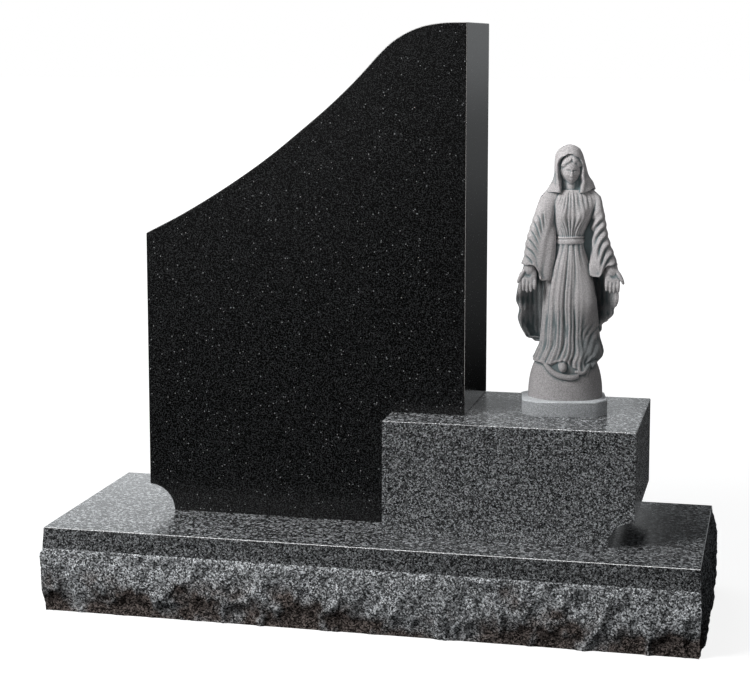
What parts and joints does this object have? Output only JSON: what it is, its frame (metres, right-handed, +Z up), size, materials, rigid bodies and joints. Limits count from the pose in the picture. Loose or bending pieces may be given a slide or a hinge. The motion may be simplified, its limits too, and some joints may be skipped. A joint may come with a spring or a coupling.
{
  "type": "headstone",
  "caption": "Granite headstone: long base with split-rock edges, swept black tablet, speckled block and a carved robed figure on a globe and plinth.",
  "frame": {"origin": "middle of the base's underside", "axes": "+Z up, the front faces -Y, +X to the viewer's right along the base"},
  "size_m": [1.5743, 0.587, 1.3803],
  "materials": {
    "base_granite": "polished top and margin, split rock edges",
    "black_granite": "polished",
    "grey_granite": "polished, speckled",
    "carved_stone": "carved, fine grained"
  },
  "bodies": {
    "root": {"base": "base_granite", "tablet": "black_granite", "block": "grey_granite", "statue": "carved_stone"}
  },
  "joints": []
}
